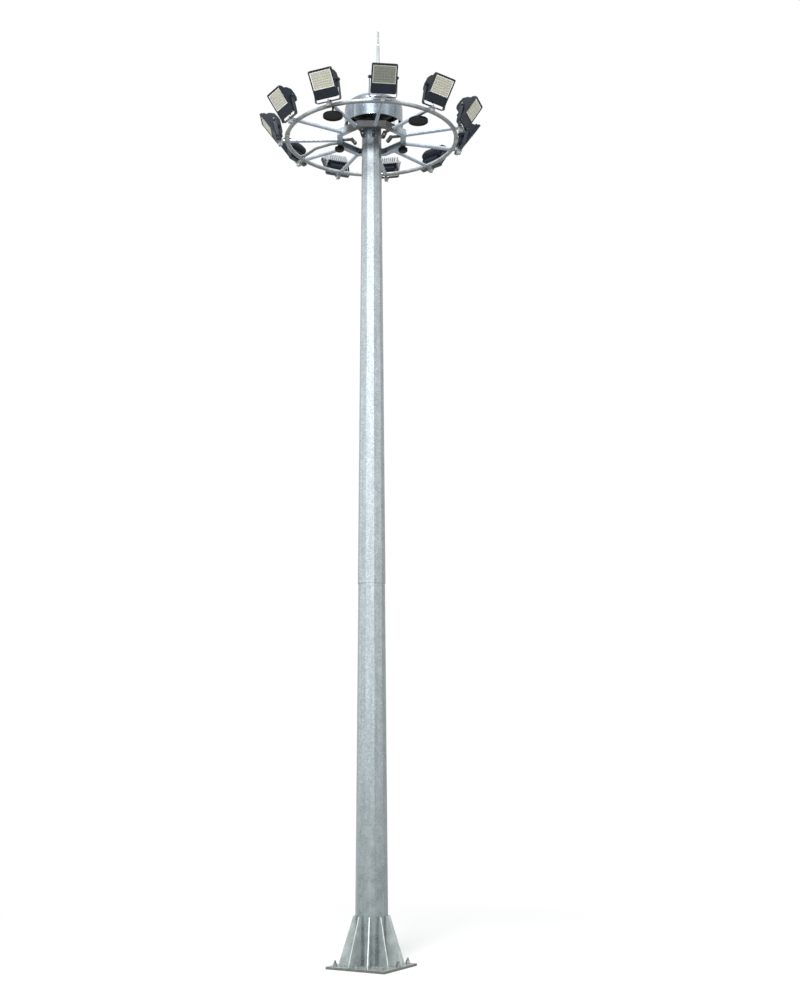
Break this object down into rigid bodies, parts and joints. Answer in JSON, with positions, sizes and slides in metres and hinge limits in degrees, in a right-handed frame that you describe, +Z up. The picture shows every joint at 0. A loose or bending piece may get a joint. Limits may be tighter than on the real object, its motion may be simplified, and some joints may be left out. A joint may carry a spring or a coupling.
{
  "type": "high mast floodlight tower",
  "caption": "Tapered ten-sided galvanised mast with a gusseted base flange, a domed head, a hoisted ring of tilting floodlights and a lightning rod",
  "frame": {"origin": "centre of the base flange's underside, on the foundation's top", "axes": "+Z up along the mast, +X and +Y square to the sides of the base flange"},
  "size_m": [2.6519, 2.6511, 10.841],
  "materials": {
    "galvanised": "hot-dip galvanised, mottled",
    "canopy_sheet": "galvanised sheet, satin",
    "dark_steel": "satin paint",
    "wire_rope": "stranded wire",
    "roller": "moulded nylon",
    "stirrup_paint": "powder coat",
    "fitting_plastic": "moulded",
    "conduit_plastic": "flexible conduit",
    "lamp_housing": "dark powder coat",
    "lamp_window": "lens sheet over light-emitting panels"
  },
  "bodies": {
    "mast": {"base_flange": "galvanised", "base_gussets": "galvanised", "shaft_lower": "galvanised", "shaft_upper": "galvanised", "door_frame": "galvanised", "door_cover": "galvanised", "winch": "dark_steel", "head_frame": "galvanised", "rope_pulleys": "dark_steel", "head_canopy": "canopy_sheet", "lightning_rod": "galvanised", "hoist_ropes": "wire_rope", "inner_hoist_ropes": "wire_rope"},
    "carriage": {"outer_ring": "galvanised", "inner_ring": "galvanised", "spokes": "galvanised", "guide_arms": "galvanised", "guide_rollers": "roller", "lamp_seats": "galvanised", "lamp_stirrups": "stirrup_paint", "spoke_fittings": "fitting_plastic", "feed_conduit": "conduit_plastic"},
    "lamp_01": {"lamp_01_housing": "lamp_housing", "lamp_01_window": "lamp_window"},
    "lamp_02": {"lamp_02_housing": "lamp_housing", "lamp_02_window": "lamp_window"},
    "lamp_03": {"lamp_03_housing": "lamp_housing", "lamp_03_window": "lamp_window"},
    "lamp_04": {"lamp_04_housing": "lamp_housing", "lamp_04_window": "lamp_window"},
    "lamp_05": {"lamp_05_housing": "lamp_housing", "lamp_05_window": "lamp_window"},
    "lamp_06": {"lamp_06_housing": "lamp_housing", "lamp_06_window": "lamp_window"},
    "lamp_07": {"lamp_07_housing": "lamp_housing", "lamp_07_window": "lamp_window"},
    "lamp_08": {"lamp_08_housing": "lamp_housing", "lamp_08_window": "lamp_window"},
    "lamp_09": {"lamp_09_housing": "lamp_housing", "lamp_09_window": "lamp_window"},
    "lamp_10": {"lamp_10_housing": "lamp_housing", "lamp_10_window": "lamp_window"},
    "lamp_11": {"lamp_11_housing": "lamp_housing", "lamp_11_window": "lamp_window"}
  },
  "joints": [
    {"name": "carriage_hoist", "type": "slide", "parent": "mast", "child": "carriage", "axis": [0, 0, 1], "range_m": [-7.95, 0]},
    {"name": "lamp_01_tilt", "type": "hinge", "parent": "carriage", "child": "lamp_01", "pos_m": [0.68727, -0.92204, 9.605], "axis": [0.8018, 0.5976, 0], "range_deg": [-37, 53]},
    {"name": "lamp_02_tilt", "type": "hinge", "parent": "carriage", "child": "lamp_02", "pos_m": [1.07666, -0.4041, 9.605], "axis": [0.3514, 0.9362, 0], "range_deg": [-37, 53]},
    {"name": "lamp_03_tilt", "type": "hinge", "parent": "carriage", "child": "lamp_03", "pos_m": [1.12422, 0.24213, 9.605], "axis": [-0.2105, 0.9776, 0], "range_deg": [-37, 53]},
    {"name": "lamp_04_tilt", "type": "hinge", "parent": "carriage", "child": "lamp_04", "pos_m": [0.81485, 0.81149, 9.605], "axis": [-0.7056, 0.7086, 0], "range_deg": [-37, 53]},
    {"name": "lamp_05_tilt", "type": "hinge", "parent": "carriage", "child": "lamp_05", "pos_m": [0.24677, 1.12321, 9.605], "axis": [-0.9767, 0.2146, 0], "range_deg": [-37, 53]},
    {"name": "lamp_06_tilt", "type": "hinge", "parent": "carriage", "child": "lamp_06", "pos_m": [-0.39966, 1.07832, 9.605], "axis": [-0.9377, -0.3475, 0], "range_deg": [-37, 53]},
    {"name": "lamp_07_tilt", "type": "hinge", "parent": "carriage", "child": "lamp_07", "pos_m": [-0.9192, 0.69107, 9.605], "axis": [-0.6009, -0.7993, 0], "range_deg": [-37, 53]},
    {"name": "lamp_08_tilt", "type": "hinge", "parent": "carriage", "child": "lamp_08", "pos_m": [-1.1469, 0.08441, 9.605], "axis": [-0.0734, -0.9973, 0], "range_deg": [-37, 53]},
    {"name": "lamp_09_tilt", "type": "hinge", "parent": "carriage", "child": "lamp_09", "pos_m": [-1.01046, -0.54905, 9.605], "axis": [0.4774, -0.8787, 0], "range_deg": [-37, 53]},
    {"name": "lamp_10_tilt", "type": "hinge", "parent": "carriage", "child": "lamp_10", "pos_m": [-0.55322, -1.00819, 9.605], "axis": [0.8767, -0.4811, 0], "range_deg": [-37, 53]},
    {"name": "lamp_11_tilt", "type": "hinge", "parent": "carriage", "child": "lamp_11", "pos_m": [0.07967, -1.14724, 9.605], "axis": [0.9976, 0.0693, 0], "range_deg": [-37, 53]}
  ]
}
